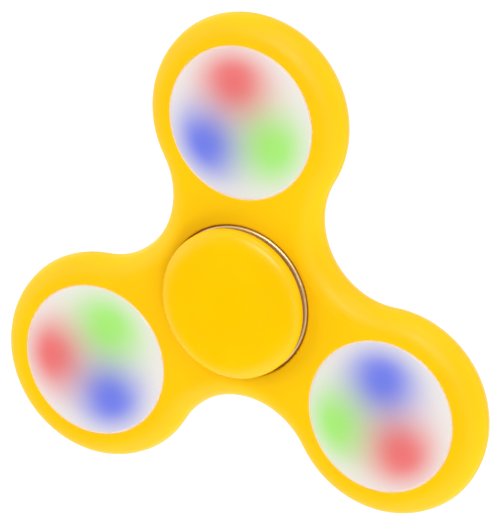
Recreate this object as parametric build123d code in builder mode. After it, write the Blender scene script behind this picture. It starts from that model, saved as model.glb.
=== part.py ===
from build123d import *
import os
from math import atan2, cos, degrees, pi, radians, sin

os.makedirs("parts", exist_ok=True)

# A three-lobed finger spinner. Millimetres, origin at the centre of the hub bearing, +Z along the
# spin axis towards the side with the lights, +Y through the middle of lobe "a".

# ---- driving dimensions ----
LOBES = 3
PITCH = 26.0  # spin axis to the axis of each light
LOBE_R = 15.0  # rounded end of a lobe
HUB_R = 15.0  # spin axis to the waist between two lobes
BODY_T = 6.2  # moulding, face to face
BODY_FRONT = 3.5  # front face, flush with the bearing and the lenses
EDGE_RUN = 3.4  # how far the full-height rounding of the outside edge reaches in

BEARING_R = 11.0  # 608 bearing: 22 x 8 x 7
BEARING_BORE_R = 4.0
BEARING_W = 7.0
BALLS = 7
BALL_R = 1.9845
BALL_PITCH_R = 7.5

CAP_R = 10.86
CAP_TOP = 6.5  # height of the crown above the middle plane

LIGHT_R = 11.0
LED_PITCH_R = 6.35
LIGHT_TURNS = {"a": 95.0, "b": 182.0, "c": 317.0}  # heading of each light's red lamp
LAMPS = ("red", "blue", "green")  # in each light, with as many cells and screws
BUTTON_TRAVEL = 0.4

SEAT_GAP = 0.02  # radial gap of the press seats
RUN_GAP = 0.03  # ball to race
SAME = 1e-3  # radii that differ by less are the same

# ---- body: worked out ----
BODY_REAR = BODY_FRONT - BODY_T
BODY_MID = (BODY_FRONT + BODY_REAR) / 2
POCKET_R = LIGHT_R + SEAT_GAP
STEP = LOBE_R - HUB_R
WAIST_C = (PITCH**2 - STEP**2) / (PITCH + 2 * STEP)  # spin axis to the centre of a waist arc
WAIST_R = WAIST_C - HUB_R
LOBE_HALF = degrees(atan2(WAIST_C * sin(pi / LOBES), WAIST_C * cos(pi / LOBES) - PITCH))
LOBE_SPAN = 2 * LOBE_HALF
WAIST_SPAN = LOBE_SPAN - 360 / LOBES
LOBE_HEADINGS = {"a": 90.0, "b": 210.0, "c": 330.0}
BOSS_R = 12.6  # rear ring that makes the hub as wide as the bearing
FACE_EDGE = 0.25  # small rounding where a face meets a seat
FLAT_LAP = 1.0  # flat strip that ties the rounded edge to the middle of the body

# ---- bearing: worked out ----
HALF_W = BEARING_W / 2
GROOVE_R = 1.04 * BALL_R  # a little wider than the balls
INNER_GROOVE_C = BALL_PITCH_R - BALL_R - RUN_GAP + GROOVE_R
OUTER_GROOVE_C = BALL_PITCH_R + BALL_R + RUN_GAP - GROOVE_R
INNER_SHOULDER_R = 6.05
OUTER_SHOULDER_R = 8.95
RACE_EDGE = 0.5  # rounding of the outer and bore corners of the races
SHIELD_SEAT_R = 9.6
SHIELD_SEAT_D = 0.6
SHIELD_T = 0.25
SHIELD_LIP = 0.3
SHIELD_INNER_R = 6.25
CAGE_IN_R = 6.7
CAGE_OUT_R = 8.3
CAGE_T = 0.3
POCKET_GAP = 0.07
RIVET_R = 0.35
RIVET_HEAD_R = 0.55
RIVET_HEAD_T = 0.2

# ---- finger caps ----
CAP_UNDER = 4.45
CAP_BAND_LOW = 4.7
CAP_BAND_HIGH = 5.0
CAP_CROWN_OUT_R = 7.3
CAP_CROWN_IN_R = 6.7
CAP_FLOOR = 6.2
CAP_FLOOR_R = 3.0
CAP_SHOULDER_R = 5.7
STEM_R = BEARING_BORE_R - SEAT_GAP / 2
STEM_END = 0.15
STEM_LEAD = 0.3

# ---- light module: heights from the middle plane, radii from its own axis ----
SETS = len(LAMPS)
SET_STEP = 360 / SETS
BETWEEN = SET_STEP / 2  # heading midway between two lamps
LENS_T = 1.0
LENS_EDGE = 0.3
SKIRT_IN_R = 10.3
RIM_TOP = 1.4  # top of the housing, where the lens skirt stands
PCB_UNDER = 0.5
PCB_T = 0.8
PCB_TOP = PCB_UNDER + PCB_T
PCB_R = 10.05
NOTCH_L = 1.6
NOTCH_W = 0.8
LAMP_W = 2.8
LAMP_L = 3.5
LAMP_H = 0.8
LAMP_MARK = 0.5
LAMP_WINDOW_R = 1.15
LAMP_WINDOW_D = 0.1
BLOB_R = 1.7
BLOB_H = 0.6
BLOB_TAPER = 35
RESISTOR_W = 0.8
RESISTOR_L = 1.6
RESISTOR_H = 0.45
HOUSING_IN_R = 10.2
CELL_ROOM_R = 9.8
HOUSING_REAR = -4.2
HOUSING_EDGE = 0.5
COVER_R = 9.7
COVER_T = 0.8
COVER_INNER = HOUSING_REAR + COVER_T
SCREW_PITCH_R = 8.6
SCREW_BOSS_R = 1.3
SCREW_R = 0.4
SCREW_HEAD_R = 0.85
SCREW_HEAD_T = 0.35
SCREW_SINK = 0.4
SCREW_TIP = -1.2
SCREW_CLEAR = 0.08
CROSS_L = 1.1
CROSS_W = 0.22
CROSS_D = 0.15
GROOVE_OUT_R = 6.2
GROOVE_IN_R = 5.8
GROOVE_D = 0.2
CELL_R = 3.95
CELL_H = 3.6
CELL_PITCH_R = 5.75
CELL_CAP_R = 3.35
CELL_CAP_H = 0.5
CELL_EDGE = 0.3
PLATE_T = 0.12
PLATE_RING_R = 2.6
PLATE_PAD_R = 2.6
PLATE_ARM_W = 2.0
PAD_R = 1.5
CELL_LOW = COVER_INNER + PLATE_T + SEAT_GAP
SWITCH_R = 1.6
SWITCH_LOW = -0.8
SWITCH_BORE_R = 0.85
SWITCH_BORE_TOP = 0.2
BUTTON_HEAD_R = 2.6
BUTTON_STEM_R = 1.1
BUTTON_HOLE_R = 1.25
BUTTON_SINK_R = 2.8
BUTTON_SINK = 0.45
BUTTON_HEAD_T = 0.5
BUTTON_EDGE = 0.2
BUTTON_CLEAR = 0.15
COLLAR_R = 1.6
COLLAR_H = 0.35
NUB_IN = 0.25


def heading(angle, radius, height=0.0):
    """Point at a heading and a radius about the spin axis."""
    return (radius * cos(radians(angle)), radius * sin(radians(angle)), height)


def upright(centre, angle):
    """Vertical plane through a point, its x axis pointing at a heading and its y axis up."""
    a = radians(angle)
    return Plane(origin=centre, x_dir=(cos(a), sin(a), 0), z_dir=(sin(a), -cos(a), 0))


def save(piece, label):
    piece.part.label = label
    export_step(piece.part, f"parts/{label}.step")


# ---- body shell ----
def tri_outline(inset):
    """The closed outline of the body, moved inwards: three lobe arcs joined by three waist arcs."""
    for lobe in LOBE_HEADINGS.values():
        CenterArc(heading(lobe, PITCH), LOBE_R - inset, lobe - LOBE_HALF, LOBE_SPAN)
        waist = heading(lobe + 180 / LOBES, WAIST_C)
        CenterArc(waist, WAIST_R + inset, lobe + 180 + LOBE_HALF, -WAIST_SPAN)


def edge_section(centre_r, lap_side):
    """Section of the rounded edge: an ellipse as tall as the body, with a flat strip behind it."""
    with Locations((centre_r, BODY_MID)):
        Ellipse(EDGE_RUN, BODY_T / 2)
    with Locations((centre_r + lap_side * FLAT_LAP / 2, BODY_MID)):
        Rectangle(FLAT_LAP, BODY_T)


with BuildPart() as body_shell:
    with BuildSketch(Plane.XY.offset(BODY_REAR)) as middle:
        with BuildLine():
            tri_outline(EDGE_RUN)
        make_face()
    extrude(amount=BODY_T)
    for lobe in LOBE_HEADINGS.values():
        lobe_c = heading(lobe, PITCH)
        with BuildSketch(upright(lobe_c, lobe - LOBE_HALF)):
            edge_section(LOBE_R - EDGE_RUN, -1)
        revolve(axis=Axis(lobe_c, (0, 0, 1)), revolution_arc=LOBE_SPAN)
        waist_c = heading(lobe + 180 / LOBES, WAIST_C)
        with BuildSketch(upright(waist_c, lobe + 180 + LOBE_HALF - WAIST_SPAN)):
            edge_section(WAIST_R + EDGE_RUN, 1)
        revolve(axis=Axis(waist_c, (0, 0, 1)), revolution_arc=WAIST_SPAN)
    with BuildSketch(Plane.XY.offset(-HALF_W)):
        Circle(BOSS_R)
    extrude(amount=HALF_W)
    boss_rim = body_shell.edges().filter_by(GeomType.CIRCLE).sort_by(Axis.Z)[0]
    fillet(boss_rim, FACE_EDGE)
    with BuildSketch(Plane.XY.offset(-HALF_W)):
        Circle(BEARING_R + SEAT_GAP)
    extrude(amount=BEARING_W, mode=Mode.SUBTRACT)
    with BuildSketch(Plane.XY.offset(BODY_REAR)):
        with PolarLocations(PITCH, LOBES, start_angle=LOBE_HEADINGS["a"]):
            Circle(POCKET_R)
    extrude(amount=BODY_T, mode=Mode.SUBTRACT)
    seat_mouth = (
        body_shell.edges()
        .filter_by(GeomType.CIRCLE)
        .filter_by(lambda e: abs(e.radius - BEARING_R - SEAT_GAP) < SAME and e.center().Z > 0)
    )
    fillet(seat_mouth, FACE_EDGE)
save(body_shell, "body_shell")


# ---- hub bearing ----
with BuildPart() as outer_race:
    with BuildSketch(Plane.XZ) as section:
        with Locations(((OUTER_SHOULDER_R + BEARING_R) / 2, 0)):
            Rectangle(BEARING_R - OUTER_SHOULDER_R, BEARING_W)
        fillet(section.vertices().group_by(Axis.X)[-1], RACE_EDGE)
        with Locations((OUTER_GROOVE_C, 0)):
            Circle(GROOVE_R, mode=Mode.SUBTRACT)
        seat_w = SHIELD_SEAT_R - OUTER_SHOULDER_R
        seat_z = HALF_W - SHIELD_SEAT_D / 2
        with Locations((OUTER_SHOULDER_R + seat_w / 2, seat_z), (OUTER_SHOULDER_R + seat_w / 2, -seat_z)):
            Rectangle(seat_w, SHIELD_SEAT_D, mode=Mode.SUBTRACT)
    revolve(axis=Axis.Z)
save(outer_race, "outer_race")

with BuildPart() as inner_race:
    with BuildSketch(Plane.XZ) as section:
        with Locations(((BEARING_BORE_R + INNER_SHOULDER_R) / 2, 0)):
            Rectangle(INNER_SHOULDER_R - BEARING_BORE_R, BEARING_W)
        fillet(section.vertices().group_by(Axis.X)[0], RACE_EDGE)
        with Locations((INNER_GROOVE_C, 0)):
            Circle(GROOVE_R, mode=Mode.SUBTRACT)
    revolve(axis=Axis.Z)
save(inner_race, "inner_race")


def shield(side):
    """Pressed ring that closes one side of the bearing, its outer lip curled out into the seat."""
    floor_z = HALF_W - SHIELD_SEAT_D
    outer_r = SHIELD_SEAT_R - SEAT_GAP
    with BuildPart() as ring:
        with BuildSketch(Plane.XZ):
            with Locations(((SHIELD_INNER_R + outer_r) / 2, side * (floor_z + SHIELD_T / 2))):
                Rectangle(outer_r - SHIELD_INNER_R, SHIELD_T)
            with Locations((outer_r - SHIELD_LIP / 2, side * (floor_z + SHIELD_T))):
                Rectangle(SHIELD_LIP, 2 * SHIELD_T)
        revolve(axis=Axis.Z)
    return ring


save(shield(1), "shield_front")
save(shield(-1), "shield_rear")


def cage_half(side):
    """Ribbon of the ball cage: a thin ring pressed into half pockets, with rivet holes between."""
    with BuildPart() as half:
        with BuildSketch(Plane.XY):
            Circle(CAGE_OUT_R)
            Circle(CAGE_IN_R, mode=Mode.SUBTRACT)
        extrude(amount=side * CAGE_T)
        with PolarLocations(BALL_PITCH_R, BALLS):
            Sphere(BALL_R + POCKET_GAP + CAGE_T)
        with BuildSketch(Plane.XY):
            Circle(CAGE_OUT_R)
            Circle(CAGE_IN_R, mode=Mode.SUBTRACT)
        extrude(amount=side * 2 * BALL_R, mode=Mode.INTERSECT)
        with PolarLocations(BALL_PITCH_R, BALLS):
            Sphere(BALL_R + POCKET_GAP, mode=Mode.SUBTRACT)
        with PolarLocations(BALL_PITCH_R, BALLS, start_angle=180 / BALLS):
            Cylinder(RIVET_R + SEAT_GAP, 4 * CAGE_T, mode=Mode.SUBTRACT)
    return half


save(cage_half(1), "cage_front")
save(cage_half(-1), "cage_rear")

with BuildPart() as cage_rivets:
    with PolarLocations(BALL_PITCH_R, BALLS, start_angle=180 / BALLS):
        Cylinder(RIVET_R, 2 * CAGE_T)
    for side in (1, -1):
        with BuildSketch(Plane.XY.offset(side * CAGE_T)):
            with PolarLocations(BALL_PITCH_R, BALLS, start_angle=180 / BALLS):
                Circle(RIVET_HEAD_R)
        extrude(amount=side * RIVET_HEAD_T)
save(cage_rivets, "cage_rivets")

for count in range(BALLS):
    with BuildPart() as ball:
        with Locations(heading(count * 360 / BALLS, BALL_PITCH_R)):
            Sphere(BALL_R)
    save(ball, f"ball_{count + 1}")


# ---- finger caps ----
def finger_cap(side):
    """Dished cap: a press stem, a shoulder on the inner race, and a wide rounded rim round a pad."""
    lower_edge = CAP_BAND_LOW - CAP_UNDER
    dish_mid = ((CAP_FLOOR_R + CAP_CROWN_IN_R) / 2, (CAP_FLOOR + CAP_TOP) / 2)
    with BuildPart() as cap:
        with BuildSketch(Plane(origin=(0, 0, 0), x_dir=(1, 0, 0), z_dir=(0, -side, 0))):
            with BuildLine():
                Polyline(
                    (0, CAP_FLOOR),
                    (0, STEM_END),
                    (STEM_R - STEM_LEAD, STEM_END),
                    (STEM_R, STEM_END + STEM_LEAD),
                    (STEM_R, HALF_W),
                    (CAP_SHOULDER_R, HALF_W),
                    (CAP_SHOULDER_R, CAP_UNDER),
                    (CAP_R - lower_edge, CAP_UNDER),
                )
                RadiusArc((CAP_R - lower_edge, CAP_UNDER), (CAP_R, CAP_BAND_LOW), -lower_edge)
                Line((CAP_R, CAP_BAND_LOW), (CAP_R, CAP_BAND_HIGH))
                EllipticalCenterArc(
                    (CAP_CROWN_OUT_R, CAP_BAND_HIGH), CAP_R - CAP_CROWN_OUT_R, CAP_TOP - CAP_BAND_HIGH
                )
                Line((CAP_CROWN_OUT_R, CAP_TOP), (CAP_CROWN_IN_R, CAP_TOP))
                Spline(
                    (CAP_CROWN_IN_R, CAP_TOP),
                    dish_mid,
                    (CAP_FLOOR_R, CAP_FLOOR),
                    tangents=((-1, 0), (-1, 0)),
                )
                Line((CAP_FLOOR_R, CAP_FLOOR), (0, CAP_FLOOR))
            make_face()
        revolve(axis=Axis.Z)
    return cap


save(finger_cap(1), "front_cap")
save(finger_cap(-1), "rear_cap")


# ---- light modules ----
def light_plane(name, height=0.0):
    """Level plane on the axis of one light, turned so that its red lamp lies along x."""
    turn = LIGHT_TURNS[name]
    return Plane(origin=heading(LOBE_HEADINGS[name], PITCH, height), x_dir=heading(turn, 1), z_dir=(0, 0, 1))


def light_lens(name):
    """Milky plate, flush with the body, standing on a short skirt."""
    with BuildPart() as lens:
        with BuildSketch(light_plane(name, RIM_TOP)):
            Circle(LIGHT_R - SEAT_GAP)
        extrude(amount=BODY_FRONT - RIM_TOP)
        fillet(lens.edges().sort_by(Axis.Z)[-1], LENS_EDGE)
        with BuildSketch(light_plane(name, RIM_TOP)):
            Circle(SKIRT_IN_R)
        extrude(amount=BODY_FRONT - RIM_TOP - LENS_T, mode=Mode.SUBTRACT)
    return lens


def light_housing(name):
    """Cup that holds the cells and the circuit board, with three screw bosses inside its wall."""
    with BuildPart() as cup:
        with BuildSketch(light_plane(name, HOUSING_REAR)):
            Circle(LIGHT_R)
        extrude(amount=RIM_TOP - HOUSING_REAR)
        fillet(cup.edges().sort_by(Axis.Z)[0], HOUSING_EDGE)
        with BuildSketch(light_plane(name, HOUSING_REAR)):
            Circle(CELL_ROOM_R)
        extrude(amount=RIM_TOP - HOUSING_REAR, mode=Mode.SUBTRACT)
        with BuildSketch(light_plane(name, PCB_UNDER)):
            Circle(HOUSING_IN_R)
        extrude(amount=RIM_TOP - PCB_UNDER, mode=Mode.SUBTRACT)
        with BuildSketch(light_plane(name, COVER_INNER)):
            with PolarLocations(SCREW_PITCH_R, SETS):
                Circle(SCREW_BOSS_R)
        extrude(amount=PCB_UNDER - COVER_INNER)
        with BuildSketch(light_plane(name, COVER_INNER)):
            with PolarLocations(SCREW_PITCH_R, SETS):
                Circle(SCREW_R + SEAT_GAP)
        extrude(amount=SCREW_TIP - COVER_INNER + SEAT_GAP, mode=Mode.SUBTRACT)
    return cup


def light_board(name):
    """Round circuit board with three small locating notches."""
    with BuildPart() as board:
        with BuildSketch(light_plane(name, PCB_UNDER)):
            Circle(PCB_R)
            with PolarLocations(PCB_R, SETS, start_angle=BETWEEN):
                SlotOverall(NOTCH_L, NOTCH_W, mode=Mode.SUBTRACT)
        extrude(amount=PCB_T)
    return board


def light_lamp(name, angle):
    """Surface-mount lamp with a marking corner and a shallow round window."""
    half_w, half_l = LAMP_W / 2, LAMP_L / 2
    with BuildPart() as lamp:
        with BuildSketch(light_plane(name, PCB_TOP)):
            with PolarLocations(LED_PITCH_R, 1, start_angle=angle):
                Polygon(
                    (half_w, half_l),
                    (-half_w, half_l),
                    (-half_w, -half_l),
                    (half_w - LAMP_MARK, -half_l),
                    (half_w, LAMP_MARK - half_l),
                    align=None,
                )
        extrude(amount=LAMP_H)
        with BuildSketch(light_plane(name, PCB_TOP + LAMP_H)):
            with PolarLocations(LED_PITCH_R, 1, start_angle=angle):
                Circle(LAMP_WINDOW_R)
        extrude(amount=-LAMP_WINDOW_D, mode=Mode.SUBTRACT)
    return lamp


def light_driver(name):
    """Resin blob over the driver chip, and a resistor beside each lamp."""
    with BuildPart() as driver:
        with BuildSketch(light_plane(name, PCB_TOP)):
            Circle(BLOB_R)
        extrude(amount=BLOB_H, taper=BLOB_TAPER)
        with BuildSketch(light_plane(name, PCB_TOP)):
            with PolarLocations(LED_PITCH_R, SETS, start_angle=BETWEEN):
                Rectangle(RESISTOR_W, RESISTOR_L)
        extrude(amount=RESISTOR_H)
    return driver


def light_switch(name):
    """Round press switch under the board, with a bore for the button's nub."""
    with BuildPart() as case:
        with BuildSketch(light_plane(name, SWITCH_LOW)):
            Circle(SWITCH_R)
        extrude(amount=PCB_UNDER - SWITCH_LOW)
        with BuildSketch(light_plane(name, SWITCH_LOW)):
            Circle(SWITCH_BORE_R)
        extrude(amount=SWITCH_BORE_TOP - SWITCH_LOW, mode=Mode.SUBTRACT)
    return case


def light_button(name):
    """Button: an outside head, a stem with a retaining collar, and a nub inside the switch."""
    head_inner = HOUSING_REAR + BUTTON_SINK - BUTTON_TRAVEL - SEAT_GAP
    collar_low = COVER_INNER + PLATE_T + SEAT_GAP
    stem_top = SWITCH_LOW - BUTTON_TRAVEL - BUTTON_CLEAR
    with BuildPart() as button:
        with BuildSketch(light_plane(name, head_inner)):
            Circle(BUTTON_HEAD_R)
        extrude(amount=-BUTTON_HEAD_T)
        fillet(button.edges().sort_by(Axis.Z)[0], BUTTON_EDGE)
        with BuildSketch(light_plane(name, head_inner)):
            Circle(BUTTON_STEM_R)
        extrude(amount=stem_top - head_inner)
        with BuildSketch(light_plane(name, collar_low)):
            Circle(COLLAR_R)
        extrude(amount=COLLAR_H)
        with BuildSketch(light_plane(name, stem_top)):
            Circle(SWITCH_BORE_R - BUTTON_CLEAR)
        extrude(amount=SWITCH_LOW + NUB_IN - stem_top)
    return button


def light_contacts(name):
    """Spring-steel contacts: a plate on the cover under the cells, and a pad over each cell."""
    with BuildPart() as contacts:
        with BuildSketch(light_plane(name, COVER_INNER)):
            Circle(PLATE_RING_R)
            with PolarLocations(CELL_PITCH_R, SETS, start_angle=BETWEEN):
                Circle(PLATE_PAD_R)
            with PolarLocations(CELL_PITCH_R / 2, SETS, start_angle=BETWEEN):
                Rectangle(CELL_PITCH_R, PLATE_ARM_W)
            Circle(BUTTON_HOLE_R, mode=Mode.SUBTRACT)
        extrude(amount=PLATE_T)
        with BuildSketch(light_plane(name, PCB_UNDER)):
            with PolarLocations(CELL_PITCH_R, SETS, start_angle=BETWEEN):
                Circle(PAD_R)
        extrude(amount=-PLATE_T)
    return contacts


def light_cells(name):
    """Three button cells, each with a smaller cap on its upper side."""
    with BuildPart() as cells:
        with BuildSketch(light_plane(name, CELL_LOW)):
            with PolarLocations(CELL_PITCH_R, SETS, start_angle=BETWEEN):
                Circle(CELL_R)
        extrude(amount=CELL_H - CELL_CAP_H)
        fillet(cells.edges().group_by(Axis.Z)[0], CELL_EDGE)
        with BuildSketch(light_plane(name, CELL_LOW + CELL_H - CELL_CAP_H)):
            with PolarLocations(CELL_PITCH_R, SETS, start_angle=BETWEEN):
                Circle(CELL_CAP_R)
        extrude(amount=CELL_CAP_H)
    return cells


def light_cover(name):
    """Rear lid with a sunk button hole, three sunk screw holes and a shallow ring groove."""
    with BuildPart() as cover:
        with BuildSketch(light_plane(name, HOUSING_REAR)):
            Circle(COVER_R)
            Circle(BUTTON_HOLE_R, mode=Mode.SUBTRACT)
            with PolarLocations(SCREW_PITCH_R, SETS):
                Circle(SCREW_R + SCREW_CLEAR, mode=Mode.SUBTRACT)
        extrude(amount=COVER_T)
        with BuildSketch(light_plane(name, HOUSING_REAR)):
            Circle(BUTTON_SINK_R)
        extrude(amount=BUTTON_SINK, mode=Mode.SUBTRACT)
        with BuildSketch(light_plane(name, HOUSING_REAR)):
            with PolarLocations(SCREW_PITCH_R, SETS):
                Circle(SCREW_HEAD_R + SCREW_CLEAR)
        extrude(amount=SCREW_SINK, mode=Mode.SUBTRACT)
        with BuildSketch(light_plane(name, HOUSING_REAR)):
            Circle(GROOVE_OUT_R)
            Circle(GROOVE_IN_R, mode=Mode.SUBTRACT)
        extrude(amount=GROOVE_D, mode=Mode.SUBTRACT)
    return cover


def light_screws(name):
    """Three small cross-head screws through the cover into the housing bosses."""
    seat = HOUSING_REAR + SCREW_SINK
    with BuildPart() as screws:
        with BuildSketch(light_plane(name, seat)):
            with PolarLocations(SCREW_PITCH_R, SETS):
                Circle(SCREW_HEAD_R)
        extrude(amount=-SCREW_HEAD_T)
        with BuildSketch(light_plane(name, seat)):
            with PolarLocations(SCREW_PITCH_R, SETS):
                Circle(SCREW_R)
        extrude(amount=SCREW_TIP - seat)
        with BuildSketch(light_plane(name, seat - SCREW_HEAD_T)):
            with PolarLocations(SCREW_PITCH_R, SETS):
                Rectangle(CROSS_L, CROSS_W)
                Rectangle(CROSS_W, CROSS_L)
        extrude(amount=CROSS_D, mode=Mode.SUBTRACT)
    return screws


for name in LOBE_HEADINGS:
    save(light_lens(name), f"lens_{name}")
    save(light_housing(name), f"housing_{name}")
    save(light_board(name), f"board_{name}")
    for count, lamp in enumerate(LAMPS):
        save(light_lamp(name, count * SET_STEP), f"lamp_{lamp}_{name}")
    save(light_driver(name), f"driver_{name}")
    save(light_switch(name), f"switch_{name}")
    save(light_button(name), f"button_{name}")
    save(light_contacts(name), f"contacts_{name}")
    save(light_cells(name), f"cells_{name}")
    save(light_cover(name), f"cover_{name}")
    save(light_screws(name), f"screws_{name}")
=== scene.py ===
import bmesh
import bpy
import math
from mathutils import Matrix, Vector


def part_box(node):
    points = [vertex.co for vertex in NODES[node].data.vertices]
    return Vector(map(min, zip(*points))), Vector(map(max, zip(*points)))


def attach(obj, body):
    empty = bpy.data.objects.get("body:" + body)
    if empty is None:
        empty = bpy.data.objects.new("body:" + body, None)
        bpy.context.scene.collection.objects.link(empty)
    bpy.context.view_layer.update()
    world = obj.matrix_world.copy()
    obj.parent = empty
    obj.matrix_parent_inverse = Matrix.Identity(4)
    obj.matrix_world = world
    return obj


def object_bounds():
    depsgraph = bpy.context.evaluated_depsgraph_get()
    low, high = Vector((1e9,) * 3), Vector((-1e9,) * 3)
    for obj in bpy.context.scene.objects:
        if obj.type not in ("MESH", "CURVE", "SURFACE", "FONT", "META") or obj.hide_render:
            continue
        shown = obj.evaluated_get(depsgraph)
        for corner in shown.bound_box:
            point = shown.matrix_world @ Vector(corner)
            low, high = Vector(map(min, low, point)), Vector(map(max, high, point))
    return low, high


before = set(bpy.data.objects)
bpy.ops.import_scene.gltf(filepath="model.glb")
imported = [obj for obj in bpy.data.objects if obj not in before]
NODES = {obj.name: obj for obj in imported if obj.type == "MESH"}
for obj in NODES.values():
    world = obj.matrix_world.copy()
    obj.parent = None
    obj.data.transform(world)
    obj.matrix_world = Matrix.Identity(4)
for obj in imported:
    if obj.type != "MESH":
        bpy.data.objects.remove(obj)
cad_low, cad_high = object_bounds()
LIGHTS = ("a", "b", "c")
BALLS = 7
MM = 0.001

# ---- camera: where the spinner is seen from ----
CAMERA_AIM = Vector((1.93, 5.86, 3.50)) * MM
CAMERA_AWAY = 779.6 * MM
CAMERA_HEADING = math.radians(38.03)
CAMERA_LIFT = math.radians(56.98)
CAMERA_ROLL = math.radians(122.26)
# focal length and sensor width, in millimetres
CAMERA_LENS = 383.9
CAMERA_SENSOR = 36.0
CAMERA_CLIP = (0.01, 50.0)


def direction(heading, lift):
    """Unit vector at a heading about +Z and a lift above level, both in radians."""
    flat = math.cos(lift)
    return Vector((flat * math.cos(heading), flat * math.sin(heading), math.sin(lift)))


def add_camera():
    """Camera at a heading and a lift from its aim, then rolled about its own line of sight."""
    away = direction(CAMERA_HEADING, CAMERA_LIFT)
    side = (-away).cross(Vector((0, 0, 1))).normalized()
    up = side.cross(-away) * math.cos(CAMERA_ROLL) + side * math.sin(CAMERA_ROLL)
    turn = Matrix((up.cross(away), up, away)).transposed().to_4x4()
    data = bpy.data.cameras.new("camera")
    data.lens = CAMERA_LENS
    data.sensor_width = CAMERA_SENSOR
    data.clip_start, data.clip_end = CAMERA_CLIP
    camera = bpy.data.objects.new("camera", data)
    camera.matrix_world = Matrix.Translation(CAMERA_AIM + away * CAMERA_AWAY) @ turn
    bpy.context.scene.collection.objects.link(camera)
    bpy.context.scene.camera = camera


add_camera()


# ---- materials: short ways to write node trees ----
# the range that most of a noise keeps within
NOISE_SPAN = (0.3, 0.7)


def srgb(red, green, blue):
    """A colour given as 0 to 255 screen values, as a linear colour."""
    def linear(v):
        v /= 255.0
        return v / 12.92 if v <= 0.04045 else ((v + 0.055) / 1.055) ** 2.4
    return (linear(red), linear(green), linear(blue), 1.0)


def dimmed(colour, share):
    """A colour with its light cut to a share."""
    return tuple(share * v for v in colour[:3]) + (1.0,)


class Wiring:
    """Short ways to add nodes to a tree and join them up."""

    def __init__(self, tree):
        self.tree = tree

    def plug(self, value, socket):
        if isinstance(value, bpy.types.NodeSocket):
            self.tree.links.new(value, socket)
        else:
            socket.default_value = value

    def node(self, kind, inputs, **settings):
        """A node with its settings made and its inputs filled by name or by number."""
        node = self.tree.nodes.new("ShaderNode" + kind)
        for name, value in settings.items():
            setattr(node, name, value)
        for key, value in inputs.items():
            self.plug(value, node.inputs[key])
        return node

    def vector(self, operation, *values):
        node = self.node("VectorMath", dict(enumerate(values)), operation=operation)
        return node.outputs["Value" if operation in ("LENGTH", "DISTANCE", "DOT_PRODUCT") else "Vector"]

    def math(self, operation, *values):
        return self.node("Math", dict(enumerate(values)), operation=operation).outputs[0]

    def split(self, vector):
        return self.node("SeparateXYZ", {0: vector}).outputs

    def join(self, x, y, z):
        return self.node("CombineXYZ", {0: x, 1: y, 2: z}).outputs[0]

    def radius(self, vector):
        """Distance from the z axis."""
        return self.vector("LENGTH", self.vector("MULTIPLY", vector, (1, 1, 0)))

    def noise(self, vector, scale, detail=2.0, rough=0.5):
        """Noise from 0 to 1, by its lumps to the unit, its finer layers and how strong those are."""
        inputs = {"Vector": vector, "Scale": scale, "Detail": detail, "Roughness": rough}
        return self.node("TexNoise", inputs).outputs["Fac"]

    def ease(self, value, low, high, to_low=0.0, to_high=1.0):
        """Smooth step of a value from one range to another."""
        inputs = {"Value": value, "From Min": low, "From Max": high, "To Min": to_low, "To Max": to_high}
        return self.node("MapRange", inputs, interpolation_type="SMOOTHSTEP").outputs[0]

    def spread(self, noise, low=0.0, high=1.0):
        """A noise spread over a whole range."""
        return self.ease(noise, *NOISE_SPAN, low, high)

    def near(self, value, centre, half, soft):
        """1 where a value lies within half of a centre, falling to 0 over soft."""
        away = self.math("ABSOLUTE", self.math("SUBTRACT", value, centre))
        return self.ease(away, half, half + soft, 1.0, 0.0)

    def both(self, first, second):
        return self.math("MULTIPLY", first, second)

    def either(self, first, second):
        return self.math("MAXIMUM", first, second)

    def blend(self, share, first, second):
        """One number passed into another by a share."""
        return self.node("Mix", {0: share, 2: first, 3: second}, data_type="FLOAT").outputs[0]

    def mix(self, share, first, second, blend="MIX"):
        """One colour laid over another by a share."""
        node = self.node("Mix", {"Factor": share}, data_type="RGBA", blend_type=blend)
        self.plug(first, node.inputs[6])
        self.plug(second, node.inputs[7])
        return node.outputs[2]

    def polar(self, vector, ring_scale, turn_scale):
        """Coordinates that stretch a noise into rings about the z axis."""
        x, y, z = self.split(vector)
        turn = self.math("MULTIPLY", self.math("ARCTAN2", y, x), turn_scale)
        ring = self.math("MULTIPLY", self.radius(vector), ring_scale)
        return self.join(ring, turn, self.math("MULTIPLY", z, ring_scale))

    def fold(self, vector, count, start, pitch):
        """Place seen from the nearest of some equal points on a circle: outwards, round, up."""
        x, y, z = self.split(vector)
        sector = 2 * math.pi / count
        turn = self.math("ADD", self.math("ARCTAN2", y, x), sector / 2 - start)
        turn = self.math("SUBTRACT", self.math("FLOORED_MODULO", turn, sector), sector / 2)
        radius = self.radius(vector)
        out = self.math("SUBTRACT", self.both(radius, self.math("COSINE", turn)), pitch)
        return self.join(out, self.both(radius, self.math("SINE", turn)), z)


class Recipe(Wiring):
    """One Principled material. Places are in millimetres from a chosen origin."""

    def __init__(self, name, origin=(0, 0, 0)):
        self.material = bpy.data.materials.new(name)
        self.material.use_nodes = True
        super().__init__(self.material.node_tree)
        self.shader = self.tree.nodes["Principled BSDF"]
        place = self.tree.nodes.new("ShaderNodeTexCoord").outputs["Object"]
        shift = tuple(-v / MM for v in origin)
        self.place = self.vector("MULTIPLY_ADD", place, (1 / MM,) * 3, shift)

    def bump(self, height, depth, normal=None):
        """Normal bumped by a height from 0 to 1 that stands for a depth in millimetres."""
        inputs = {"Height": height, "Distance": depth * MM, "Strength": 1.0}
        if normal is not None:
            inputs["Normal"] = normal
        return self.node("Bump", inputs).outputs[0]

    def finish(self, **inputs):
        """Fills the shader's sockets, named as Base_Color for Base Color, and returns the material."""
        for name, value in inputs.items():
            self.plug(value, self.shader.inputs[name.replace("_", " ")])
        return self.material


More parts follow.
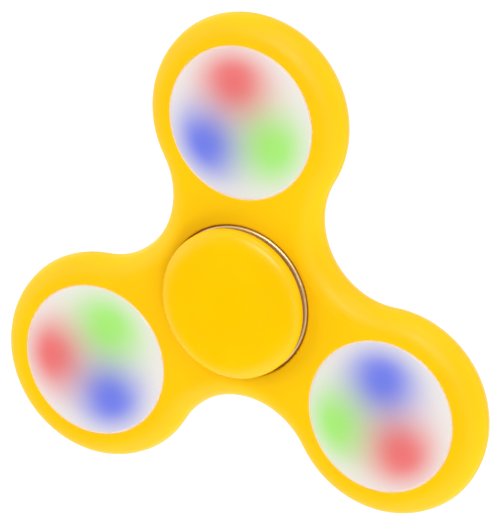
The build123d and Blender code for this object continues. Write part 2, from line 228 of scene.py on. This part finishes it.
def paint(material, *names):
    """Gives one material to some CAD nodes."""
    for name in names:
        mesh = NODES[name].data
        mesh.materials.clear()
        mesh.materials.append(material)


def centre_of(node):
    """Middle of a node's box, dropped to level zero."""
    low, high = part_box(node)
    return Vector(((low.x + high.x) / 2, (low.y + high.y) / 2, 0))


# ---- plastics ----
YELLOW = srgb(254, 200, 0)
YELLOW_DEEP = srgb(253, 195, 0)
BODY_SATIN = {"rough_from": 0.42, "gloss": 0.13}
CAP_SATIN = {"rough_from": 0.25, "gloss": 0.14}
POLISH_DEPTH = 0.07
# level of the body's widest outline, where the two halves of its mould met
SEAM_LEVEL = 0.4
# half height of the band round it that fingers rub, and how far the band fades
RUBBED_HALF = 1.0
RUBBED_FADE = 1.6
# radii between which a cap's polish fades
THUMB_PAD = (2.0, 6.5)


def yellow_plastic(name, polish, rough_from, gloss):
    """Satin moulded ABS: faint flow shading, fine mould texture, and a polish where it is handled."""
    r = Recipe(name)
    flow = r.noise(r.place, 0.06, 3.0)
    grain = r.noise(r.place, 3.2, 4.0, 0.6)
    cloud = r.noise(r.place, 0.35, 3.0)
    colour = r.mix(r.ease(flow, 0.35, 0.65), YELLOW_DEEP, YELLOW)
    rough = r.spread(cloud, rough_from, rough_from + 0.05)
    rough = r.math("ADD", rough, r.spread(grain, -0.02, 0.02))
    rough = r.math("SUBTRACT", rough, r.both(polish(r), POLISH_DEPTH))
    texture = r.bump(grain, 0.004)
    normal = r.bump(cloud, 0.01, texture)
    return r.finish(Base_Color=colour, Roughness=rough, Normal=normal, Specular_IOR_Level=gloss)


def body_polish(r):
    """The outside edge is rubbed by fingers more than the faces."""
    z = r.split(r.place)[2]
    return r.near(z, SEAM_LEVEL, RUBBED_HALF, RUBBED_FADE)


def cap_polish(r):
    """The pad in the middle of a cap is rubbed smooth by the thumb."""
    return r.ease(r.radius(r.place), *THUMB_PAD, 1.0, 0.0)


LENS_WHITE = (0.68, 0.65, 0.61, 1.0)
LENS_COOL = (0.67, 0.64, 0.62, 1.0)
LENS_GLOSS = 0.25
GLOW_TINTS = {
    "red": (1.0, 0.22, 0.23, 1.0),
    "blue": (0.2, 0.265, 1.05, 1.0),
    "green": (0.45, 1.04, 0.24, 1.0),
}
# radius at which a glow has faded to 1/e, and how squarely it fades
GLOW_REACH = 5.85
GLOW_POWER = 2.3
GLOW_LIGHT = 0.25
# radii between which all the glows of a lens fade
GLOW_RIM = (7.4, 14.6)
# how far the glows of each light stand beside its lamps
GLOW_LEAN = {
    "a": Vector((-0.5, -0.3, 0)),
    "b": Vector((-0.7, -0.2, 0)),
    "c": Vector((-1.15, -0.65, 0)),
}


def milky_lens(light):
    """Milky diffuser: the light of each lamp below is painted on as a soft round glow, in the lens's colour
    and its emission, that fades towards the rim.
    """
    middle = centre_of(f"lens_{light}")
    r = Recipe(f"milky_lens_{light}", middle)
    flat = r.vector("MULTIPLY", r.place, (1, 1, 0))
    colour = r.mix(r.noise(r.place, 0.25), LENS_WHITE, LENS_COOL)
    inside = r.ease(r.radius(r.place), *GLOW_RIM, 1.0, 0.0)
    # the light of each lamp below is painted into the lens's colour and its emission as a soft spot
    for lamp, tint in GLOW_TINTS.items():
        spot = (centre_of(f"lamp_{lamp}_{light}") - middle) / MM + GLOW_LEAN[light]
        away = r.math("DIVIDE", r.vector("DISTANCE", flat, tuple(spot)), GLOW_REACH)
        fade = r.math("POWER", away, GLOW_POWER)
        share = r.both(r.math("EXPONENT", r.math("MULTIPLY", fade, -1.0)), inside)
        colour = r.mix(share, colour, tint, "MULTIPLY")
    speckle = r.noise(r.place, 5.0, 3.0)
    rough = r.spread(speckle, 0.22, 0.27)
    return r.finish(
        Base_Color=colour, Roughness=rough, Normal=r.bump(speckle, 0.0015), Specular_IOR_Level=LENS_GLOSS,
        Emission_Color=colour, Emission_Strength=GLOW_LIGHT,
    )


HOUSING_WHITE = srgb(226, 226, 221)
COVER_WHITE = srgb(222, 222, 217)
BUTTON_WHITES = (srgb(226, 226, 222), srgb(214, 214, 210))
SWITCH_BLACKS = (srgb(26, 26, 28), srgb(44, 44, 46))


def moulded_white(name, colour, rough, grain_depth):
    """White moulding with the fine sparked texture of its tool."""
    r = Recipe(name)
    grain = r.noise(r.place, 4.0, 4.0, 0.65)
    cloud = r.noise(r.place, 0.3)
    tone = r.mix(r.spread(cloud), colour, dimmed(colour, 0.94))
    roughness = r.ease(grain, 0.25, 0.75, rough - 0.05, rough + 0.08)
    return r.finish(Base_Color=tone, Roughness=roughness, Normal=r.bump(grain, grain_depth))


def button_plastic(light):
    """Button: a faint turned mark on its face, polished in the middle by use."""
    r = Recipe(f"button_plastic_{light}", centre_of(f"button_{light}"))
    rings = r.noise(r.polar(r.place, 9.0, 0.6), 1.0, 3.0)
    radius = r.radius(r.place)
    colour = r.mix(r.ease(radius, 0.6, 2.4), *BUTTON_WHITES)
    rough = r.math("ADD", r.ease(radius, 0.5, 2.2, 0.28, 0.42), r.spread(rings, -0.03, 0.03))
    return r.finish(Base_Color=colour, Roughness=rough, Normal=r.bump(rings, 0.004))


def switch_plastic(light):
    """Black moulding of the press switch."""
    r = Recipe(f"switch_plastic_{light}", centre_of(f"switch_{light}"))
    grain = r.noise(r.place, 6.0, 3.0)
    colour = r.mix(grain, *SWITCH_BLACKS)
    return r.finish(Base_Color=colour, Roughness=r.spread(grain, 0.42, 0.58), Normal=r.bump(grain, 0.005))


# ---- circuit parts ----
# lamps, resistors, cells and screws each stand three times round a light, the resistors and the cells
# half a step on from the lamps
SETS = 3
HALF_STEP = math.pi / SETS
LAMP_COLOURS = {"red": srgb(240, 90, 92), "blue": srgb(90, 104, 240), "green": srgb(140, 240, 96)}
LAMP_LIGHT = 3.0
LAMP_CASES = (srgb(228, 226, 218), srgb(240, 238, 230))
# radii between which a lamp's round window meets its case
LAMP_WINDOW = (1.05, 1.2)

MASK_GREENS = (srgb(20, 96, 52), srgb(28, 112, 62))
TRACK_GREEN = srgb(58, 142, 72)
PAD_TIN = srgb(206, 206, 200)
PRINT_WHITE = srgb(232, 232, 226)
# tracks, pads and print on a board: middle, half width and soft edge
TRACK_SPOKE = (0.0, 0.16, 0.04)
TRACK_RING = (4.1, 0.14, 0.04)
TRACK_RIM = (9.2, 0.22, 0.05)
PAD_SIDE = (1.75, 0.45, 0.04)
PAD_LONG = (0.0, 1.1, 0.04)
PRINT_RING = (2.1, 0.07, 0.03)
# radii between which the spokes start
SPOKE_START = (2.1, 2.2)

RESIN_BLACKS = (srgb(18, 18, 20), srgb(34, 33, 34))
RESISTOR_TIN = srgb(205, 205, 202)
# radii between the resin blob and the resistors round it, and places where a resistor's glaze ends
RESISTORS_FROM = (3.0, 3.2)
GLAZE_END = (0.5, 0.53)


def lamp_arm(light):
    """From a light's own axis to its red lamp."""
    return centre_of(f"lamp_red_{light}") - centre_of(f"lens_{light}")


def lamp_turn(light):
    """Heading of a light's red lamp about the light's own axis."""
    arm = lamp_arm(light)
    return math.atan2(arm.y, arm.x)


LAMP_RING = lamp_arm("a").length / MM


def circuit_board(light):
    """Green solder mask over copper tracks, with tinned pads under the lamps and a printed ring."""
    r = Recipe(f"circuit_board_{light}", centre_of(f"lens_{light}"))
    out, around, _ = r.split(r.fold(r.place, SETS, lamp_turn(light), LAMP_RING))
    radius = r.radius(r.place)
    weave = r.noise(r.place, 2.5, 3.0)
    mask = r.mix(r.spread(weave), *MASK_GREENS)
    spoke = r.both(r.near(around, *TRACK_SPOKE), r.ease(radius, *SPOKE_START))
    ring = r.near(radius, *TRACK_RING)
    rim = r.near(radius, *TRACK_RIM)
    track = r.either(r.either(spoke, ring), rim)
    colour = r.mix(track, mask, TRACK_GREEN)
    pad = r.both(r.near(r.math("ABSOLUTE", around), *PAD_SIDE), r.near(out, *PAD_LONG))
    colour = r.mix(pad, colour, PAD_TIN)
    colour = r.mix(r.near(radius, *PRINT_RING), colour, PRINT_WHITE)
    rough = r.ease(pad, 0.0, 1.0, 0.32, 0.22)
    height = r.math("ADD", r.either(track, pad), r.both(weave, 0.1))
    return r.finish(
        Base_Color=colour, Roughness=rough, Metallic=pad, Normal=r.bump(height, 0.03), Coat_Weight=0.3,
        Coat_Roughness=0.15,
    )


def lamp_body(light, lamp, glow):
    """White lamp case; the round window shines in the lamp's colour."""
    node = f"lamp_{lamp}_{light}"
    r = Recipe(f"{node}_resin", centre_of(node))
    window = r.ease(r.radius(r.place), *LAMP_WINDOW, 1.0, 0.0)
    grain = r.noise(r.place, 5.0, 3.0)
    colour = r.mix(window, r.mix(grain, *LAMP_CASES), glow)
    rough = r.math("ADD", r.ease(window, 0.0, 1.0, 0.45, 0.12), r.both(grain, 0.05))
    light_out = r.mix(window, (0, 0, 0, 1), glow)
    return r.finish(
        Base_Color=colour, Roughness=rough, Normal=r.bump(grain, 0.004), Emission_Color=light_out,
        Emission_Strength=LAMP_LIGHT,
    )


def driver_parts(light):
    """Black resin blob over the chip, and resistors with a dark glaze and tinned ends."""
    r = Recipe(f"driver_resin_{light}", centre_of(f"lens_{light}"))
    place = r.fold(r.place, SETS, lamp_turn(light) + HALF_STEP, LAMP_RING)
    around = r.math("ABSOLUTE", r.split(place)[1])
    resistor = r.ease(r.radius(r.place), *RESISTORS_FROM)
    tinned = r.both(resistor, r.ease(around, *GLAZE_END))
    lumps = r.noise(r.place, 1.2, 3.0)
    colour = r.mix(tinned, r.mix(lumps, *RESIN_BLACKS), RESISTOR_TIN)
    rough = r.math("ADD", r.ease(tinned, 0.0, 1.0, 0.18, 0.26), r.both(lumps, 0.08))
    return r.finish(Base_Color=colour, Roughness=rough, Metallic=tinned, Normal=r.bump(lumps, 0.05))


# ---- metals ----
SHIELD_STEEL = srgb(206, 203, 196)
CAGE_STEEL = srgb(178, 172, 160)
BALL_STEEL = srgb(232, 232, 230)
GREASE = srgb(150, 128, 88)
# warm tint of the race steel: a painted reflection of the yellow body and cap round it
RACE_STEELS_WITH_YELLOW_REFLECTION = (srgb(188, 164, 118), srgb(202, 180, 134))
RACE_SHADE_BROWN = srgb(170, 120, 40)
# radii between which the brown painted shade along the outer race's outside corner sets in
RACE_SHADE_EDGE = (10.72, 10.86)
BRASSES = (srgb(196, 158, 88), srgb(226, 194, 124))
CELL_NICKELS = (srgb(188, 188, 186), srgb(214, 214, 212))
CELL_SEAL = srgb(52, 66, 60)
CELL_RING = 5.75
# seal round a cell's cap: middle, half width and soft edge of its ring, and the levels where it starts
SEAL_RING = (3.45, 0.1, 0.03)
SEAL_LEVELS = (-0.45, -0.4)
SCREW_NICKELS = (srgb(176, 178, 182), srgb(214, 215, 218))
SCREW_CROSS_DARK = srgb(70, 66, 60)
SCREW_RING = 8.6
# levels between a screw's face and the floor of its cross
CROSS_LEVELS = (-4.13, -4.05)


def turned_metal(name, colour, rough, depth, ring_scale, grease=0.0, origin=(0, 0, 0)):
    """Ground or turned metal: fine rings about the axis, with a slightly clouded sheen."""
    r = Recipe(name, origin)
    rings = r.noise(r.polar(r.place, ring_scale, 0.8), 1.0, 4.0, 0.7)
    cloud = r.noise(r.place, 0.5, 3.0)
    tone = r.mix(r.spread(rings), dimmed(colour, 0.9), colour)
    tone = r.mix(r.both(r.ease(cloud, 0.5, 0.7), grease), tone, GREASE)
    roughness = r.math("ADD", r.spread(rings, rough - 0.04, rough + 0.05), r.both(cloud, 0.04))
    return r.finish(Base_Color=tone, Roughness=roughness, Metallic=1.0, Normal=r.bump(rings, depth))


def race_metal():
    """Turned race: bright on its faces, its steel tinted warm as a painted reflection of the yellow round
    it, with a brown line of painted shade along its outside corner.
    """
    r = Recipe("bearing_steel")
    rings = r.noise(r.polar(r.place, 14.0, 0.8), 1.0, 4.0, 0.7)
    cloud = r.noise(r.place, 0.5, 3.0)
    edge = r.ease(r.radius(r.place), *RACE_SHADE_EDGE)
    # the warm steel colour is a painted reflection of the yellow round the race
    steel = r.mix(r.spread(rings), *RACE_STEELS_WITH_YELLOW_REFLECTION)
    # brown painted shade along the outer race's outside corner, its strength varied by a noise
    colour = r.mix(r.both(edge, r.ease(cloud, 0.2, 0.5, 0.75, 1.0)), steel, RACE_SHADE_BROWN)
    metal = r.ease(edge, 0.0, 1.0, 0.55, 0.2)
    rough = r.math("ADD", r.spread(rings, 0.3, 0.38), r.both(cloud, 0.04))
    return r.finish(Base_Color=colour, Roughness=rough, Metallic=metal, Normal=r.bump(rings, 0.0012))


def brushed_strip(light):
    """Plated spring strip, brushed one way, with a spread of fine scratches."""
    r = Recipe(f"contact_brass_{light}", centre_of(f"lens_{light}"))
    streaks = r.noise(r.vector("MULTIPLY", r.place, (12.0, 0.5, 1.0)), 1.0, 4.0, 0.65)
    colour = r.mix(streaks, *BRASSES)
    rough = r.spread(streaks, 0.22, 0.36)
    return r.finish(Base_Color=colour, Roughness=rough, Metallic=1.0, Normal=r.bump(streaks, 0.002))


def button_cells(light):
    """Nickel-plated cells: rings on each can, and a dark seal between the can and its cap."""
    r = Recipe(f"cell_steel_{light}", centre_of(f"lens_{light}"))
    place = r.fold(r.place, SETS, lamp_turn(light) + HALF_STEP, CELL_RING)
    rings = r.noise(r.polar(place, 7.0, 0.7), 1.0, 4.0, 0.65)
    seal = r.both(r.near(r.radius(place), *SEAL_RING), r.ease(r.split(place)[2], *SEAL_LEVELS))
    colour = r.mix(seal, r.mix(r.spread(rings), *CELL_NICKELS), CELL_SEAL)
    metal = r.math("SUBTRACT", 1.0, seal)
    rough = r.math("ADD", r.spread(rings, 0.2, 0.3), r.both(seal, 0.3))
    return r.finish(Base_Color=colour, Roughness=rough, Metallic=metal, Normal=r.bump(rings, 0.003))


def screw_metal(light):
    """Nickel-plated screws: turned heads, darker at the floor of the cross."""
    r = Recipe(f"screw_steel_{light}", centre_of(f"lens_{light}"))
    place = r.fold(r.place, SETS, lamp_turn(light), SCREW_RING)
    rings = r.noise(r.polar(place, 16.0, 0.8), 1.0, 3.0, 0.6)
    cross_dark = r.ease(r.split(place)[2], *CROSS_LEVELS)
    # darker towards the floor of each screw's cross
    colour = r.mix(r.both(cross_dark, 0.55), r.mix(r.spread(rings), *SCREW_NICKELS), SCREW_CROSS_DARK)
    rough = r.math("ADD", r.spread(rings, 0.2, 0.3), r.both(cross_dark, 0.15))
    return r.finish(Base_Color=colour, Roughness=rough, Metallic=1.0, Normal=r.bump(rings, 0.004))


paint(yellow_plastic("body_plastic", body_polish, **BODY_SATIN), "body_shell")
paint(yellow_plastic("cap_plastic", cap_polish, **CAP_SATIN), "front_cap", "rear_cap")
paint(race_metal(), "outer_race", "inner_race")
paint(turned_metal("shield_steel", SHIELD_STEEL, 0.27, 0.004, 5.0), "shield_front", "shield_rear")
paint(turned_metal("cage_steel", CAGE_STEEL, 0.3, 0.004, 3.0, 0.5), "cage_front", "cage_rear", "cage_rivets")
for number in range(1, BALLS + 1):
    ball = f"ball_{number}"
    paint(turned_metal(f"{ball}_steel", BALL_STEEL, 0.07, 0.0004, 3.0, 0.2, centre_of(ball)), ball)
for light in LIGHTS:
    paint(milky_lens(light), f"lens_{light}")
    paint(moulded_white(f"housing_plastic_{light}", HOUSING_WHITE, 0.45, 0.008), f"housing_{light}")
    paint(moulded_white(f"cover_plastic_{light}", COVER_WHITE, 0.5, 0.014), f"cover_{light}")
    paint(button_plastic(light), f"button_{light}")
    paint(switch_plastic(light), f"switch_{light}")
    paint(circuit_board(light), f"board_{light}")
    paint(driver_parts(light), f"driver_{light}")
    paint(brushed_strip(light), f"contacts_{light}")
    paint(button_cells(light), f"cells_{light}")
    paint(screw_metal(light), f"screws_{light}")
    for lamp, glow in LAMP_COLOURS.items():
        paint(lamp_body(light, lamp, glow), f"lamp_{lamp}_{light}")


# ---- fine pieces beside the CAD solids, in millimetres ----
# pale tones of the lens's edge bead: a painted highlight along the rim of each lens
EDGE_HIGHLIGHT_TONES = (srgb(250, 214, 176), srgb(246, 222, 200))
EDGE_GLOSS = 0.3
TRIM_TURNS = 128
TRIM_STEPS = 8
# how far the middle of the bead stands outside the lens, and half the bead's width
TRIM_OUT = 0.01
TRIM_HALF = 0.21
# depths of the bead's crown and of its foot below the lens's face
TRIM_TOP = 0.06
TRIM_FOOT = 0.28
SEAM_BEAD = 0.045
SEAM_FACETS = 2
SEAM_STEP = 0.3
SAME_PLACE = 1e-4


def add_piece(name, data, material, body):
    """A piece beside the CAD nodes that rides with one of the bodies."""
    data.materials.append(material)
    piece = bpy.data.objects.new(name, data)
    bpy.context.scene.collection.objects.link(piece)
    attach(piece, body)


def clear_edge(light):
    """Edge of the lens: a pale colour with a touch of yellow, a painted highlight along the lens's rim."""
    r = Recipe(f"lens_edge_{light}", centre_of(f"lens_{light}"))
    # pale, slightly yellow colour: a painted highlight along the lens's rim
    colour = r.mix(r.noise(r.place, 0.4), *EDGE_HIGHLIGHT_TONES)
    rough = r.spread(r.noise(r.place, 4.0), 0.2, 0.3)
    return r.finish(Base_Color=colour, Roughness=rough, Specular_IOR_Level=EDGE_GLOSS)


def add_lens_trim(light):
    """Edge of a lens: a thin rounded bead that closes the groove between the lens and its seat, its pale
    colour a painted highlight.
    """
    low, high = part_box(f"lens_{light}")
    middle = (low + high) / 2
    rim = (high.x - low.x) / 2 + TRIM_OUT * MM
    bead = []
    for step in range(TRIM_STEPS + 1):
        turn = math.pi * step / TRIM_STEPS
        rise = TRIM_FOOT - (TRIM_FOOT - TRIM_TOP) * math.sin(turn)
        bead.append((rim + TRIM_HALF * MM * math.cos(turn), high.z - rise * MM))
    shape = bmesh.new()
    rows = []
    for count in range(TRIM_TURNS):
        turn = 2 * math.pi * count / TRIM_TURNS
        row = [(middle.x + out * math.cos(turn), middle.y + out * math.sin(turn), z) for out, z in bead]
        rows.append([shape.verts.new(place) for place in row])
    for count in range(TRIM_TURNS):
        near, far = rows[count], rows[(count + 1) % TRIM_TURNS]
        for side in range(len(bead)):
            after = (side + 1) % len(bead)
            face = shape.faces.new((near[side], near[after], far[after], far[side]))
            face.smooth = True
    bmesh.ops.recalc_face_normals(shape, faces=shape.faces)
    mesh = bpy.data.meshes.new(f"lens_trim_{light}")
    shape.to_mesh(mesh)
    shape.free()
    add_piece(f"lens_trim_{light}", mesh, clear_edge(light), "rotor")


def body_outline():
    """Places round the body at the level of the mould's parting, at least a seam step apart."""
    shape = bmesh.new()
    shape.from_mesh(NODES["body_shell"].data)
    bmesh.ops.bisect_plane(
        shape, geom=shape.verts[:] + shape.edges[:] + shape.faces[:], plane_co=(0, 0, SEAM_LEVEL * MM),
        plane_no=(0, 0, 1), clear_inner=True, clear_outer=True,
    )
    bmesh.ops.remove_doubles(shape, verts=shape.verts, dist=SAME_PLACE * MM)
    start = max(shape.verts, key=lambda v: v.co.length)
    loop = [start.co.copy()]
    edge = start.link_edges[0]
    after = edge.other_vert(start)
    while after is not start:
        if (after.co - loop[-1]).length > SEAM_STEP * MM:
            loop.append(after.co.copy())
        edge = next(e for e in after.link_edges if e is not edge)
        after = edge.other_vert(after)
    shape.free()
    return loop


def add_mould_seam():
    """Parting line of the body's mould: a fine bead round the outside, where its two halves met."""
    loop = body_outline()
    curve = bpy.data.curves.new("mould_seam", "CURVE")
    curve.dimensions = "3D"
    curve.bevel_depth = SEAM_BEAD * MM
    curve.bevel_resolution = SEAM_FACETS
    spline = curve.splines.new("POLY")
    spline.points.add(len(loop) - 1)
    for point, place in zip(spline.points, loop):
        point.co = (*place, 1.0)
    spline.use_cyclic_u = True
    add_piece("mould_seam", curve, yellow_plastic("seam_plastic", body_polish, **BODY_SATIN), "rotor")


for light in LIGHTS:
    add_lens_trim(light)
add_mould_seam()


# ---- stage, in metres ----
FLOOR_HALF = 3.0
FLOOR_GREYS = ((0.05, 0.05, 0.05, 1.0), (0.06, 0.06, 0.06, 1.0))
FLOOR_GLOW = 1.02
# heights of a unit vector between which the sky rises from its first level to its second
SKY_RISE = (0.26, 0.77)
SKY_LEVELS = (1.39, 2.88)
# round patches of the sky: heading, lift and half angles of the full and of the faded part, all in degrees,
# and level
SKY_PATCHES = (
    (218, 66, 34, 58, 0.06),
    (165, 26, 14, 28, 2.7),
    (270, 26, 14, 28, 2.7),
    (20, 22, 18, 42, 0.95),
    (75, 38, 22, 48, 1.2),
)
LAMP_AWAY = 0.6
# oval lamps: heading, lift, half width and half height, all in degrees, and level
HIGHLIGHTS = (
    (78, 58, 19, 6, 24.0),
    (78, 18, 13, 13, 5.0),
)


def add_floor():
    """White table just under the spinner, lit from within so that it stays white round the spinner."""
    half = FLOOR_HALF
    corners = [(-half, -half, 0), (half, -half, 0), (half, half, 0), (-half, half, 0)]
    mesh = bpy.data.meshes.new("floor")
    mesh.from_pydata(corners, [], [(0, 1, 2, 3)])
    floor = bpy.data.objects.new("floor", mesh)
    floor.location.z = cad_low.z
    bpy.context.scene.collection.objects.link(floor)
    r = Recipe("floor_white")
    material = r.finish(
        Base_Color=r.mix(r.noise(r.place, 0.02), *FLOOR_GREYS), Roughness=0.9, Specular_IOR_Level=0.1,
        Emission_Color=(1, 1, 1, 1), Emission_Strength=FLOOR_GLOW,
    )
    mesh.materials.append(material)


def add_world():
    """Studio round the spinner: brighter overhead than at the horizon, and nearly black where the flat faces
    mirror it to the camera, with soft boxes beside it. The camera itself sees plain white."""
    world = bpy.data.worlds.new("studio")
    world.use_nodes = True
    bpy.context.scene.world = world
    w = Wiring(world.node_tree)
    look = w.vector("NORMALIZE", w.tree.nodes.new("ShaderNodeTexCoord").outputs["Generated"])
    level = w.ease(w.split(look)[2], *SKY_RISE, *SKY_LEVELS)
    for heading, lift, full, faded, strength in SKY_PATCHES:
        middle = direction(math.radians(heading), math.radians(lift))
        facing = w.vector("DOT_PRODUCT", look, middle)
        share = w.ease(facing, math.cos(math.radians(faded)), math.cos(math.radians(full)))
        level = w.blend(share, level, strength)
    path = w.tree.nodes.new("ShaderNodeLightPath").outputs["Is Camera Ray"]
    level = w.blend(path, level, 1.0)
    w.plug((1, 1, 1, 1), w.tree.nodes["Background"].inputs["Color"])
    w.plug(level, w.tree.nodes["Background"].inputs["Strength"])


def add_highlight(heading, lift, half_wide, half_high, level):
    """Oval lamp facing the spinner that shows only in its gloss. Its level is how bright its face is."""
    away = direction(math.radians(heading), math.radians(lift))
    wide = LAMP_AWAY * math.tan(math.radians(half_wide))
    high = LAMP_AWAY * math.tan(math.radians(half_high))
    data = bpy.data.lights.new("highlight", "AREA")
    data.shape = "ELLIPSE"
    data.size = 2 * wide
    data.size_y = 2 * high
    area = math.pi * wide * high
    data.energy = level * math.pi * area
    lamp = bpy.data.objects.new("highlight", data)
    lamp.location = away * LAMP_AWAY
    lamp.rotation_euler = away.to_track_quat("Z", "Y").to_euler()
    lamp.visible_diffuse = False
    lamp.visible_camera = False
    bpy.context.scene.collection.objects.link(lamp)


add_floor()
add_world()
for highlight in HIGHLIGHTS:
    add_highlight(*highlight)
bpy.context.scene.view_settings.view_transform = "Standard"
